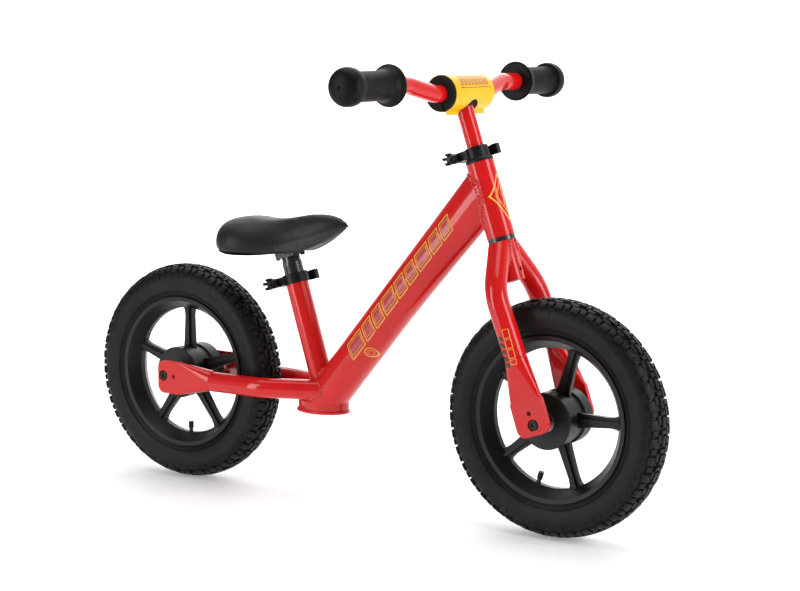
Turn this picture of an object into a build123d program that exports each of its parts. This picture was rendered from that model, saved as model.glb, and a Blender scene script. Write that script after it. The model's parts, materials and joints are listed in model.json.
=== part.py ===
from build123d import *
import math
import os

# Child's balance bike, millimetres. +X is forward, +Y is the rider's left, +Z is up.
# The origin is on the ground, midway between the two axles.

# --- driving dimensions -------------------------------------------------------------------
WHEEL_R = 150.0             # outside radius of a 12 inch tyre
WHEELBASE = 586.0
STEER_TILT = 19.4           # lean of the steering axis back from vertical, degrees
RAKE = 6.0                  # front axle ahead of the steering axis
SEAT_TILT = 18.0            # lean of the seat tube back from vertical, degrees
DOWN_TILT = 50.4            # slope of the down tube above level, degrees

HEAD_R = 18.0
HEAD_BORE = 15.5
HEAD_LOW = 234.0            # head tube ends, measured up the steering axis from the axle
HEAD_HIGH = 331.0
STEERER_R = 12.7
STEERER_BORE = 11.2
STUB_R = 15.0               # thicker foot of the steerer, where the legs are welded
STUB_LOW = 177.0
STUB_HIGH = 228.2
POST_R = 11.1               # handlebar and its post
BAR_WALL = 1.8
BAR_HEIGHT = 422.0          # bar centre up the steering axis
BAR_RISE = 13.5
BAR_SETBACK = 3.0
BAR_HALF = 245.0
GRIP_IN = 146.0             # grip runs from here to GRIP_OUT on each side
GRIP_OUT = 250.0

DOWN_R = 27.0
DOWN_WALL = 2.0
BOOT_LOW = 118.0            # oval lip at the foot of the down tube
BOOT_HIGH = 133.0
BOOT_LENGTH = 37.0
BOOT_X = -62.5
LIP_PROUD = 2.2
LIP_TALL = 4.0
SEAT_TUBE_R = 15.3
SEAT_POST_R = 13.6
STAY_R = 13.5
LEG_R = 14.0
SMALL_WALL = 1.8            # wall of the stays and fork legs

DROPOUT_IN = 52.0           # inner face of each crushed tube end
DROPOUT_THICK = 7.0
DROPOUT_WIDE = 45.0
BOLT_POCKET_R = 7.5
BOLT_POCKET_DEEP = 3.5
SIDE_HOLE_R = 3.0

AXLE_R = 5.0
BOLT_R = 3.0
BEARING_R = 13.0
BEARING_WIDE = 8.0
HUB_R = 35.5
HUB_HALF = 30.0
RIM_R = 88.0
SPOKES = 5
RUN_GAP = 0.05              # radial running clearance on shafts
CLEAR = 0.3                 # clearance between faces that turn past each other

REAR_AXLE = Vector(-WHEELBASE / 2, 0, WHEEL_R)
FRONT_AXLE = Vector(WHEELBASE / 2, 0, WHEEL_R)
BOTTOM = (Align.CENTER, Align.CENTER, Align.MIN)


def leaning_plane(origin, tilt):
    """A plane whose Z leans back by tilt degrees and whose X points forward."""
    a = math.radians(tilt)
    return Plane(origin=origin, x_dir=(math.cos(a), 0, math.sin(a)), z_dir=(-math.sin(a), 0, math.cos(a)))


STEER_FORWARD = Vector(math.cos(math.radians(STEER_TILT)), 0, math.sin(math.radians(STEER_TILT)))
STEER = leaning_plane(FRONT_AXLE - STEER_FORWARD * RAKE, STEER_TILT).location
SEAT = leaning_plane(Vector(-106.3, 0, 285.3), SEAT_TILT).location
DOWN_FOOT = Vector(-26.8, 0, 173.4)     # a point on the down tube's centre line


# --- helpers --------------------------------------------------------------------------------
def rod(radius, low, high):
    return Pos(0, 0, low) * Cylinder(radius, high - low, align=BOTTOM)


def tube(outer, inner, low, high):
    return rod(outer, low, high) - rod(inner, low - 1, high + 1)


def cone(radius_low, radius_high, low, high):
    return Pos(0, 0, low) * Cone(radius_low, radius_high, high - low, align=BOTTOM)


def across(shape, centre):
    """Turn a shape made along +Z so that it runs along +Y, and put it at centre."""
    return shape.moved(Plane(origin=centre, x_dir=(1, 0, 0), z_dir=(0, 1, 0)).location)


def mirrored(shape):
    return shape.mirror(Plane.XZ)


def block(x, y, z):
    """A box from three (low, high) pairs."""
    size = [high - low for low, high in (x, y, z)]
    return Pos(x[0], y[0], z[0]) * Box(*size, align=(Align.MIN, Align.MIN, Align.MIN))


def spun(points):
    """Revolve an outline of (radius, height) points about Z."""
    outline = Polyline(*[(r, 0, z) for r, z in points], close=True)
    return revolve(make_face(outline), Axis.Z)


def upper_piece(shape):
    return shape.solids().sort_by(Axis.Z)[-1]


def largest_piece(shape):
    return shape.solids().sort_by(SortBy.VOLUME)[-1]


# --- frame ----------------------------------------------------------------------------------
def down_axis_plane(distance):
    """Section plane on the down tube, distance along it from DOWN_FOOT towards the head."""
    a = math.radians(DOWN_TILT)
    along = Vector(math.cos(a), 0, math.sin(a))
    return Plane(origin=DOWN_FOOT + along * distance, x_dir=(0, 1, 0), z_dir=along)


def down_solid(shrink):
    """Down tube: round below, squeezed narrow and deep where it meets the head tube."""
    round_end, squeeze = -75.0, 120.0
    r = DOWN_R - shrink
    lower = extrude(down_axis_plane(round_end) * Circle(r), squeeze - round_end)
    sections = [
        down_axis_plane(squeeze) * Circle(r),
        down_axis_plane(220) * Pos(0, -1.4) * Ellipse(r - 2.5, r + 1.8),
        down_axis_plane(300) * Pos(0, -3.0) * Ellipse(r - 6.0, r + 4.0),
        down_axis_plane(352) * Pos(0, -4.2) * Ellipse(r - 9.0, r + 6.0),
    ]
    boot = Pos(BOOT_X, 0, BOOT_LOW) * extrude(Ellipse(BOOT_LENGTH - shrink, r + 0.7), BOOT_HIGH - BOOT_LOW)
    if shrink == 0:
        lip = extrude(Ellipse(BOOT_LENGTH + LIP_PROUD, r + 0.7 + LIP_PROUD), LIP_TALL)
        boot += Pos(BOOT_X, 0, BOOT_LOW) * fillet(lip.edges(), 1.2)
    body = lower + loft(sections)
    body -= block((-300, 200), (-60, 60), (0, BOOT_HIGH - 12))
    return body + boot


def make_down_tube():
    tube_body = down_solid(0) - down_solid(DOWN_WALL)
    head_space = (rod(HEAD_R, 150, 420) + block((0, 120), (-80, 80), (100, 460))).moved(STEER)
    return tube_body - head_space


def make_bottom_plate():
    plate = extrude(Ellipse(BOOT_LENGTH - DOWN_WALL, DOWN_R - DOWN_WALL), 2.0)
    drain = Cylinder(4.0, 10)
    return Pos(BOOT_X, 0, BOOT_LOW + 1.5) * (plate - drain)


def make_head_tube():
    body = tube(HEAD_R, HEAD_BORE, HEAD_LOW, HEAD_HIGH)
    return body.moved(STEER)


def make_seat_tube():
    slot = block((-40, 0), (-1.2, 1.2), (-12, 20))
    body = (tube(SEAT_TUBE_R, SEAT_POST_R + RUN_GAP, -150, 14.5) - slot).moved(SEAT)
    return upper_piece(body - down_solid(0))


def flattened_end(y_round, radius, round_at, flat_at, end_at):
    """Crushed tube end along +Z of its own frame: round at round_at, a flat plate by flat_at."""
    mid = DROPOUT_IN + DROPOUT_THICK / 2
    start = Pos(0, y_round, round_at) * RectangleRounded(2 * radius - 0.02, 2 * radius - 0.02, radius - 0.05)
    half_way = (round_at + flat_at) / 2
    middle_thick = radius + DROPOUT_THICK / 2 + 1
    middle = Pos(0, (y_round + mid) / 2, half_way) * RectangleRounded(
        (2 * radius + DROPOUT_WIDE) / 2, middle_thick, middle_thick / 2 - 0.3)
    flat = Pos(0, mid, flat_at) * RectangleRounded(DROPOUT_WIDE, DROPOUT_THICK, DROPOUT_THICK / 2 - 0.3)
    neck = loft([start, middle, flat])
    low, high = sorted((flat_at, end_at))
    plate = block((-DROPOUT_WIDE / 2, DROPOUT_WIDE / 2), (DROPOUT_IN, DROPOUT_IN + DROPOUT_THICK), (low, high))
    corners = plate.edges().filter_by(Axis.Y).group_by(Axis.Z)
    plate = fillet(corners[0] if end_at < flat_at else corners[-1], 11.0)
    return neck + plate


def bolt_seat(x, z):
    """Axle bolt hole with its pocket, cut from a plate at x, z."""
    outer = DROPOUT_IN + DROPOUT_THICK
    hole = across(rod(BOLT_R, DROPOUT_IN - 1, outer + 1), (x, 0, z))
    pocket = across(rod(BOLT_POCKET_R, outer - BOLT_POCKET_DEEP, outer + 1), (x, 0, z))
    return hole + pocket


def make_chainstay(side):
    """One stay on +Y, from the crushed end at the axle forward to the down tube."""
    neck_x = -WHEELBASE / 2 + 78.0
    height = WHEEL_R - 2.5
    route = FilletPolyline(
        (neck_x, 45.0, height), (-138.0, 43.5, height), (-50.0, 14.0, height + 1.5), radius=70)
    start = Plane(origin=route @ 0, z_dir=route % 0)
    body = sweep(start * Circle(STAY_R), path=route)
    bore = sweep(start * Circle(STAY_R - SMALL_WALL), path=route)
    end = flattened_end(45.0, STAY_R, 78.0, 28.0, -9.0)
    lay = Plane(origin=(REAR_AXLE.X, 0, height + 1.0), x_dir=(0, 0, 1), z_dir=(1, 0, 0))
    end = end.mirror(Plane.XZ).moved(lay.location)
    body = body + end - bore
    body -= bolt_seat(REAR_AXLE.X, WHEEL_R)
    body -= across(rod(SIDE_HOLE_R, DROPOUT_IN - 1, DROPOUT_IN + DROPOUT_THICK + 1), (REAR_AXLE.X + 18, 0, WHEEL_R))
    body -= down_solid(0)
    body -= rod(SEAT_TUBE_R, -200, 10).moved(SEAT)
    keep = block((-400, -20), (0, 100), (80, 220))
    body = largest_piece(body & keep)
    return body if side > 0 else mirrored(body)


# --- fork -----------------------------------------------------------------------------------
def leg_solid():
    """Fork leg on +Y in the steering frame, from the crown to the crushed end."""
    sideways = RAKE * 0.7
    route = FilletPolyline((0, 6.0, 229.0), (0, 50.0, 168.0), (sideways, 51.0, 84.0), radius=62)
    start = Plane(origin=route @ 0, z_dir=route % 0)
    body = sweep(start * Circle(LEG_R), path=route)
    bore = sweep(start * Circle(LEG_R - SMALL_WALL), path=route)
    end = flattened_end(51.0, LEG_R, 84.0, 31.0, -13.0)
    return body + Pos(sideways, 0, 0) * end - bore


def make_fork_leg(side):
    body = leg_solid()
    body -= bolt_seat(RAKE, 0)
    outer = DROPOUT_IN + DROPOUT_THICK + 1
    body -= across(rod(SIDE_HOLE_R, DROPOUT_IN - 1, outer), (RAKE - 1, 0, 15.0))
    body -= rod(STUB_R, 100, 300)
    body -= block((-60, 60), (-80, 80), (STUB_HIGH, 300))
    body = largest_piece(body & block((-60, 60), (0, 90), (-40, 300)))
    body = body if side > 0 else mirrored(body)
    return body.moved(STEER)


def make_steerer():
    stub = tube(STUB_R, STEERER_BORE, STUB_LOW, STUB_HIGH)
    shaft = tube(STEERER_R, STEERER_BORE, STUB_HIGH, 350.0)
    slot = block((-40, 0), (-1.2, 1.2), (322, 360))
    bolt_hole = Rot(0, 90, 0) * rod(SIDE_HOLE_R, -40, 40)
    body = stub + shaft - slot - Pos(0, 0, 190.0) * bolt_hole
    return body.moved(STEER)


def make_headset_bearing(low):
    ring = tube(HEAD_BORE, STEERER_R + RUN_GAP, low, low + 7.0)
    groove_top = tube(14.6, 13.6, low + 6.4, low + 8.0)
    groove_bottom = tube(14.6, 13.6, low - 1.0, low + 0.6)
    return (ring - groove_top - groove_bottom).moved(STEER)


def make_crown_race():
    return tube(HEAD_R - 0.3, STEERER_R, STUB_HIGH, HEAD_LOW - CLEAR).moved(STEER)


def make_dust_cap():
    low = HEAD_HIGH + CLEAR
    body = rod(HEAD_R, low, low + 3.0) + cone(HEAD_R, HEAD_R - 2.0, low + 3.0, low + 5.7)
    return (body - rod(STEERER_R, low - 1, low + 9)).moved(STEER)


# --- quick-release clamp, shared by the steerer and the seat tube ---------------------------
CLAMP_TALL = 13.5
CLAMP_BEHIND = 25.0         # skewer behind the tube's centre
EAR_OUT = 12.0              # reach of the ear under the cam
NUT_EAR = 18.0              # reach of the ear under the thumb nut
CAM_R = 7.0
CAM_MID = 20.5              # cam pin to the left of the centre line


def clamp_collar(inner, wall):
    """Split collar with two ears at the back, bored for the skewer."""
    back = -CLAMP_BEHIND
    body = rod(inner + wall, 0, CLAMP_TALL)
    body += block((back, -6), (3 - NUT_EAR, EAR_OUT - 3), (1.0, CLAMP_TALL - 1.0))
    body += across(rod(CLAMP_TALL / 2 - 0.4, -NUT_EAR, EAR_OUT), (back, 0, CLAMP_TALL / 2))
    body -= rod(inner, -1, CLAMP_TALL + 1)
    body -= block((-60, 0), (-1.2, 1.2), (-1, CLAMP_TALL + 1))
    body -= across(rod(BOLT_R, -40, 40), (back, 0, CLAMP_TALL / 2))
    return body


def clamp_skewer():
    body = rod(BOLT_R - 0.5, -NUT_EAR - 12.0, CAM_MID + 1.0)
    collar_fill = tube(BOLT_R, BOLT_R - 0.5, -NUT_EAR, EAR_OUT)
    return across(body + collar_fill, (-CLAMP_BEHIND, 0, CLAMP_TALL / 2))


def clamp_washers():
    """Plastic cup under the cam and the steel washer under the thumb nut."""
    cup = tube(6.6, BOLT_R - 0.5, EAR_OUT, EAR_OUT + 1.3)
    washer = tube(6.8, BOLT_R - 0.5, -NUT_EAR - 1.4, -NUT_EAR)
    place = (-CLAMP_BEHIND, 0, CLAMP_TALL / 2)
    return Compound(children=[across(cup, place), across(washer, place)])


def clamp_pin():
    """Cross pin that the cam turns on; the skewer's end is threaded into it."""
    body = rod(3.2, -CLAMP_TALL / 2 + 0.3, CLAMP_TALL / 2 - 0.3)
    place = Pos(-CLAMP_BEHIND, CAM_MID, CLAMP_TALL / 2)
    return place * body - clamp_skewer()


def clamp_lever():
    """Cam and arm in one piece: the arm lies forward along the left of the collar."""
    tall = CLAMP_TALL / 2 - 0.2
    cam = rod(CAM_R, -tall, tall)
    arm = block((0, 41.0), (1.0, CAM_R), (-tall + 0.5, tall - 0.5))
    tip = block((33.0, 43.0), (-1.0, CAM_R + 1.2), (-tall, tall))
    tip = fillet(tip.edges().filter_by(Axis.Z), 1.5)
    body = cam + arm + tip
    body -= rod(3.2 + RUN_GAP, -20, 20)
    slot_half = BOLT_R + 0.3
    body -= block((-20, 2.9), (-20, 5.0), (-slot_half, slot_half))
    body -= block((-20, 0.5), (4.9, 20), (-slot_half, slot_half))
    return Pos(-CLAMP_BEHIND, CAM_MID, CLAMP_TALL / 2) * body


def clamp_nut():
    """Lobed thumb nut on the right-hand end of the skewer."""
    start = NUT_EAR + 1.4 + 0.3
    hub = cone(6.8, 5.6, 0, 7.0)
    for i in range(5):
        a = math.radians(72 * i + 18)
        hub += Pos(6.2 * math.cos(a), 6.2 * math.sin(a), 0) * (rod(2.1, 2.0, 12.0) + cone(2.1, 1.3, 12.0, 13.5))
    hub -= rod(BOLT_R - 0.5 + RUN_GAP, -1, 20)
    place = Plane(origin=(-CLAMP_BEHIND, -start, CLAMP_TALL / 2), x_dir=(1, 0, 0), z_dir=(0, -1, 0))
    return hub.moved(place.location)


# --- handlebar ------------------------------------------------------------------------------
def bar_route(half):
    rise_in, rise_out = 60.0, 110.0
    high = BAR_HEIGHT + BAR_RISE
    points = [(-BAR_SETBACK, half, high), (-BAR_SETBACK, rise_out, high), (0, rise_in, BAR_HEIGHT)]
    points += [(x, -y, z) for x, y, z in reversed(points)]
    return FilletPolyline(*points, radius=38)


def bar_solid(radius, half):
    route = bar_route(half)
    return sweep(Plane(origin=route @ 0, z_dir=route % 0) * Circle(radius), path=route)


def make_handlebar():
    return (bar_solid(POST_R, BAR_HALF) - bar_solid(POST_R - BAR_WALL, BAR_HALF + 2)).moved(STEER)


def make_post():
    body = tube(POST_R, POST_R - BAR_WALL, 246.0, BAR_HEIGHT)
    return (body - across(rod(POST_R, -40, 40), (0, 0, BAR_HEIGHT))).moved(STEER)


def make_grip(side):
    """Closed-end grip with a trumpet flange on the inner end and a bulb on the outer end."""
    body_r, flange_r, bulb_r = 18.3, 26.0, 23.5
    bulb_mid = GRIP_OUT - 15.0
    outline = [
        (POST_R, GRIP_IN), (flange_r - 4, GRIP_IN), (flange_r, GRIP_IN + 1.5), (flange_r, GRIP_IN + 3.5),
        (22.5, GRIP_IN + 7.5), (19.5, GRIP_IN + 13.0), (body_r, GRIP_IN + 19.0), (body_r, bulb_mid - 17.0),
        (21.5, bulb_mid - 13.5), (bulb_r, bulb_mid - 7.0), (bulb_r, bulb_mid + 2.0), (21.5, bulb_mid + 8.0),
        (17.0, bulb_mid + 12.5), (10.0, GRIP_OUT - 0.6), (0, GRIP_OUT), (0, BAR_HALF), (POST_R, BAR_HALF)]
    body = across(spun(outline), (-BAR_SETBACK, 0, BAR_HEIGHT + BAR_RISE))
    body = body if side > 0 else mirrored(body)
    return body.moved(STEER)


PAD_R = 22.0
PAD_HALF = 48.0


def make_pad_foam():
    body = across(tube(PAD_R, POST_R, -PAD_HALF, PAD_HALF), (0, 0, BAR_HEIGHT))
    post_slot = block((-POST_R - 0.4, POST_R + 0.4), (-POST_R - 0.4, POST_R + 0.4), (BAR_HEIGHT - 40, BAR_HEIGHT))
    return (body - post_slot).moved(STEER)


def make_pad_cover():
    """Printed sleeve round the foam, with a notch for the post and two flaps under the bar."""
    thick, half = 1.2, PAD_HALF - 3.0
    body = across(tube(PAD_R + thick, PAD_R, -half, half), (0, 0, BAR_HEIGHT))
    flap_low = BAR_HEIGHT - PAD_R - 5.0
    flap = block((-7.0, 7.0), (17.0, half), (flap_low, BAR_HEIGHT - PAD_R + 1.0))
    flap -= across(rod(PAD_R, -90, 90), (0, 0, BAR_HEIGHT))
    body = body + flap + mirrored(flap)
    notch = block((-40, 40), (-POST_R - 4, POST_R + 4), (BAR_HEIGHT - 60, BAR_HEIGHT - 10))
    return (body - notch).moved(STEER)


# --- saddle ---------------------------------------------------------------------------------
# Each station: distance ahead of the rear axle, half width, underside height, top height.
SADDLE = [
    (66.0, 30.0, 339.0, 358.0),
    (80.0, 52.0, 333.0, 366.0),
    (108.0, 62.0, 327.0, 370.0),
    (140.0, 55.0, 326.0, 369.0),
    (172.0, 38.0, 329.0, 370.5),
    (204.0, 26.0, 334.0, 375.0),
    (236.0, 20.0, 345.0, 380.5),
    (258.0, 15.0, 357.0, 378.0),
    (271.0, 7.0, 365.0, 371.5),
]


def saddle_section(station, inset, tall):
    x, half, low, high = station
    wide = 2 * (half - inset)
    deep = tall if tall else high - low
    face = RectangleRounded(wide, deep, 0.46 * min(wide, deep))
    return Plane(origin=(x + REAR_AXLE.X, 0, low + deep / 2), x_dir=(0, 1, 0), z_dir=(1, 0, 0)) * face


SHELL_TALL = 7.0
SHELL_PROUD = 1.0           # the shell stands this far below the cushion
BRACKET_LOW = 38.0
SCREW_R = 2.0
SCREW_HEAD_R = 2.8
SCREW_PLACES = [(x, y) for x in (-13.6, 13.6) for y in (-9.6, 9.6)]


def saddle_solid():
    return loft([saddle_section(s, 0.0, None) for s in SADDLE])


def shell_solid():
    lowered = [(x, half, low - SHELL_PROUD, high) for x, half, low, high in SADDLE[1:-2]]
    return loft([saddle_section(s, 7.0, SHELL_TALL) for s in lowered])


def screw_shank(x, y):
    """Shank of one saddle screw; its end stays inside the level shell above the sloping plate."""
    end = 49.5 - 0.185 * x
    return Pos(x, y, 0) * rod(SCREW_R, BRACKET_LOW + 1.0, end)


def make_saddle_shell():
    shell = shell_solid()
    for x, y in SCREW_PLACES:
        shell -= screw_shank(x, y).moved(SEAT)
    return shell


def make_saddle_cushion():
    return largest_piece(saddle_solid() - shell_solid())


def make_saddle_bracket():
    """Plate under the saddle with a tapered socket for the top of the post."""
    plate = block((-17.0, 17.0), (-13.0, 13.0), (BRACKET_LOW, BRACKET_LOW + 14.0))
    plate = fillet(plate.edges().filter_by(Axis.Z), 3.0)
    socket = cone(SEAT_POST_R - 0.4, 12.2, BRACKET_LOW - 8.0, BRACKET_LOW)
    body = plate + socket - rod(10.0, 0, BRACKET_LOW + 3.0)
    for x, y in SCREW_PLACES:
        body -= screw_shank(x, y)
        body -= Pos(x, y, 0) * rod(SCREW_HEAD_R, BRACKET_LOW - 2.0, BRACKET_LOW + 1.0)
    return largest_piece(body.moved(SEAT) - saddle_solid() - shell_solid())


def make_saddle_screws():
    screws = []
    for x, y in SCREW_PLACES:
        head = Pos(x, y, 0) * rod(SCREW_HEAD_R, BRACKET_LOW - 1.4, BRACKET_LOW + 1.0)
        socket = Pos(x, y, BRACKET_LOW - 1.4) * extrude(RegularPolygon(1.5, 6), 1.4)
        screws.append((head - socket + screw_shank(x, y)).moved(SEAT))
    return Compound(children=screws)


def make_seat_post():
    body = rod(SEAT_POST_R, -95.0, BRACKET_LOW - 8.0)
    body += rod(10.0, BRACKET_LOW - 8.0, BRACKET_LOW + 3.0)
    body -= rod(8.4, -96.0, BRACKET_LOW - 2.0)
    for side in (-1, 1):
        body -= Pos(0, side * (SEAT_POST_R + 0.6), 0) * block((-2.2, 2.2), (-1.6, 1.6), (-80.0, 26.0))
    return body.moved(SEAT)


# --- wheels ---------------------------------------------------------------------------------
def make_rim_ring():
    half = [
        (RIM_R, 4.0), (91.5, 9.0), (97.0, 17.5), (99.0, 20.5), (104.6, 21.2),
        (104.6, 19.4), (101.6, 18.4), (98.5, 15.0), (94.5, 9.0)]
    return spun(half + [(r, -z) for r, z in reversed(half)])


def make_hub():
    end = HUB_HALF
    seat = end - 2.0 - BEARING_WIDE
    half = [
        (11.5, seat), (BEARING_R, seat), (BEARING_R, end), (HUB_R - 1.2, end), (HUB_R, end - 1.2),
        (HUB_R, 11.0), (HUB_R - 2.5, 9.0)]
    return spun(half + [(r, -z) for r, z in reversed(half)])


def make_rim(turn):
    valve_hole = Rot(0, 90, 0) * rod(3.4, 80, 110)
    return make_rim_ring() - Rot(0, 0, turn + 180) * valve_hole


def make_spoke():
    """One arm along +X: a flat web, flared at both ends, with a raised rib down each face."""
    half = [(29.0, 10.0), (41.0, 8.3), (76.0, 6.6), (84.0, 7.6), (90.0, 10.5)]
    web = Polyline(*half, *[(x, -y) for x, y in reversed(half)], close=True)
    rib = Polyline((29.0, -3.0), (90.0, -2.2), (90.0, 2.2), (29.0, 3.0), close=True)
    return extrude(make_face(web), 3.2, both=True) + extrude(make_face(rib), 6.5, both=True)


def make_spokes(turn):
    spoke = make_spoke() - make_hub() - make_rim_ring()
    spoke = largest_piece(spoke)
    return Compound(children=[Rot(0, 0, turn + 360 / SPOKES * i) * spoke for i in range(SPOKES)])


def make_tyre():
    outer = [(102.0, 17.4), (105.2, 18.8), (112.0, 23.6), (126.0, 26.0), (140.0, 23.4), (147.6, 14.0), (WHEEL_R, 0.0)]
    inner = [(102.0, 13.0), (110.0, 18.5), (124.0, 22.4), (137.0, 19.0), (143.0, 11.0), (145.0, 0.0)]

    def whole(side):
        return [(r, 0, z) for r, z in side] + [(r, 0, -z) for r, z in reversed(side[:-1])]

    outline = [
        Spline(*whole(outer)), Spline(*whole(inner)),
        Line((102.0, 0, 17.4), (102.0, 0, 13.0)), Line((102.0, 0, -17.4), (102.0, 0, -13.0))]
    return revolve(make_face(Wire.combine(outline)[0]), Axis.Z)


TUBE_MID = 123.0
TUBE_R = 17.5


def make_inner_tube():
    return Torus(TUBE_MID, TUBE_R) - Torus(TUBE_MID, TUBE_R - 1.2)


def make_valve(turn):
    stem = rod(2.8, 77.0, 106.4) + rod(4.5, 105.0, 106.4)
    cap = rod(3.6, 73.5, 82.5) - rod(2.8, 77.0, 90.0)
    place = Rot(0, 0, turn + 180) * Rot(0, 90, 0)
    return place * stem - Torus(TUBE_MID, TUBE_R), place * cap


def make_bearings():
    outer_face = HUB_HALF - 2.0
    ring = tube(BEARING_R, AXLE_R + RUN_GAP, outer_face - BEARING_WIDE, outer_face)
    ring -= tube(10.6, 7.4, outer_face - 0.6, outer_face + 1)
    return Compound(children=[ring, ring.mirror(Plane.XY)])


def make_bearing_spacer():
    inside = HUB_HALF - 2.0 - BEARING_WIDE
    return tube(7.0, AXLE_R + RUN_GAP, -inside, inside)


def wheel_nodes(name, turn):
    stem, cap = make_valve(turn)
    return {
        name + "_rim": make_rim(turn),
        name + "_spokes": make_spokes(turn),
        name + "_hub": make_hub(),
        name + "_tyre": make_tyre(),
        name + "_inner_tube": make_inner_tube(),
        name + "_valve_stem": stem,
        name + "_valve_cap": cap,
        name + "_hub_bearings": make_bearings(),
        name + "_bearing_spacer": make_bearing_spacer(),
    }


def axle_nodes(name):
    """Fixed axle, its two side spacers and the two bolts through the crushed tube ends."""
    hole_deep = 20.0
    axle = rod(AXLE_R, -DROPOUT_IN, DROPOUT_IN)
    for side in (-1, 1):
        low, high = sorted((side * (DROPOUT_IN - hole_deep), side * (DROPOUT_IN + 1)))
        axle -= rod(BOLT_R, low, high)
    spacer = tube(8.0, AXLE_R, HUB_HALF - 2.0 + CLEAR, DROPOUT_IN)
    seat = DROPOUT_IN + DROPOUT_THICK - BOLT_POCKET_DEEP
    head = rod(6.2, seat, seat + 3.4)
    head = fillet(head.edges().sort_by(Axis.Z)[-1], 1.4)
    head -= Pos(0, 0, seat + 1.6) * extrude(RegularPolygon(2.9, 6), 3.0)
    bolt = rod(BOLT_R, DROPOUT_IN - hole_deep + 2.0, seat) + head
    return {
        name + "_axle": axle,
        name + "_axle_spacers": Compound(children=[spacer, spacer.mirror(Plane.XY)]),
        name + "_axle_bolts": Compound(children=[bolt, bolt.mirror(Plane.XY)]),
    }


def clamp_nodes(name, inner, wall, place):
    pieces = {
        name + "_clamp_collar": clamp_collar(inner, wall),
        name + "_clamp_skewer": clamp_skewer(),
        name + "_clamp_washers": clamp_washers(),
        name + "_clamp_pin": clamp_pin(),
        name + "_clamp_lever": clamp_lever(),
        name + "_clamp_nut": clamp_nut(),
    }
    return {key: shape.moved(place) for key, shape in pieces.items()}


# --- assembly -------------------------------------------------------------------------------
def build():
    nodes = {
        "head_tube": make_head_tube(),
        "down_tube": make_down_tube(),
        "bottom_plate": make_bottom_plate(),
        "seat_tube": make_seat_tube(),
        "chainstay_left": make_chainstay(1),
        "chainstay_right": make_chainstay(-1),
        "headset_lower_bearing": make_headset_bearing(HEAD_LOW),
        "headset_upper_bearing": make_headset_bearing(HEAD_HIGH - 7.0),
        "crown_race": make_crown_race(),
        "dust_cap": make_dust_cap(),
        "fork_steerer": make_steerer(),
        "fork_leg_left": make_fork_leg(1),
        "fork_leg_right": make_fork_leg(-1),
        "handlebar": make_handlebar(),
        "handlebar_post": make_post(),
        "grip_left": make_grip(1),
        "grip_right": make_grip(-1),
        "bar_pad_foam": make_pad_foam(),
        "bar_pad_cover": make_pad_cover(),
        "seat_post": make_seat_post(),
        "saddle_bracket": make_saddle_bracket(),
        "saddle_screws": make_saddle_screws(),
        "saddle_shell": make_saddle_shell(),
        "saddle_cushion": make_saddle_cushion(),
    }
    nodes.update(clamp_nodes("head", STEERER_R, 2.5, STEER * Pos(0, 0, 337.3)))
    nodes.update(clamp_nodes("seat", SEAT_TUBE_R, 2.2, SEAT * Pos(0, 0, 1.5)))
    for name, centre, turn in (("rear", REAR_AXLE, -90), ("front", FRONT_AXLE, -74)):
        for key, shape in {**wheel_nodes(name, turn), **axle_nodes(name)}.items():
            nodes[key] = across(shape, centre)
    return nodes


def main():
    os.makedirs("parts", exist_ok=True)
    for name, shape in build().items():
        export_step(shape, "parts/" + name + ".step")


main()
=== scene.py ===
import json
import math

import bmesh
import bpy
import numpy as np
from mathutils import Matrix, Vector
from mathutils.bvhtree import BVHTree


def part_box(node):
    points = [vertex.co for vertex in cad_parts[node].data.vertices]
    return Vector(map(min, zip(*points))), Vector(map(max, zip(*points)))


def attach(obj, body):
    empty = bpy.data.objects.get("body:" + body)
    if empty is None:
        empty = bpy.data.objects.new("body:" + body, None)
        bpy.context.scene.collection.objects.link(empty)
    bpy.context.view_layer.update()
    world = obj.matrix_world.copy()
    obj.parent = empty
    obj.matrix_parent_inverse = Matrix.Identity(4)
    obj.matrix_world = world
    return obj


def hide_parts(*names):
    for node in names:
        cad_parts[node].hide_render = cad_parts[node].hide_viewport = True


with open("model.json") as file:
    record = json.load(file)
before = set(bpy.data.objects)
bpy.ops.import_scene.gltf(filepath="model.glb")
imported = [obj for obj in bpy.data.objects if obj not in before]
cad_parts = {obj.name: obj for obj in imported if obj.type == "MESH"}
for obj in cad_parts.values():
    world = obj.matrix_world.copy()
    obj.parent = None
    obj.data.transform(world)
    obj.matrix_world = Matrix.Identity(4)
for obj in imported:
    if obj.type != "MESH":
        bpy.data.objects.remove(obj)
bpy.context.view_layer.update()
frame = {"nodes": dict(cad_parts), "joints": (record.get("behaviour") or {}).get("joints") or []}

# A child's balance bike. Metres; +X forward, +Y the rider's left, +Z up.

MM = 0.001
TURN = 2 * math.pi
NODES = frame["nodes"]
JOINTS = {joint["name"]: joint for joint in frame["joints"]}


# --- places read from the frame -------------------------------------------------------------
def joint_place(name):
    return Vector(JOINTS[name]["pos_m"])


AXLES = {"rear": joint_place("rear_wheel_spin"), "front": joint_place("front_wheel_spin")}
STEER_UP = Vector(JOINTS["steering"]["axis"]).normalized()
STEER_FORWARD = Vector((STEER_UP.z, 0, -STEER_UP.x))
STEER_FOOT = joint_place("steering")


def steer_point(x, y, up):
    """A point in the steering frame, in millimetres, as a place in the bike."""
    return STEER_FOOT + (STEER_FORWARD * x + Vector((0, y, 0)) + STEER_UP * up) * MM


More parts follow.
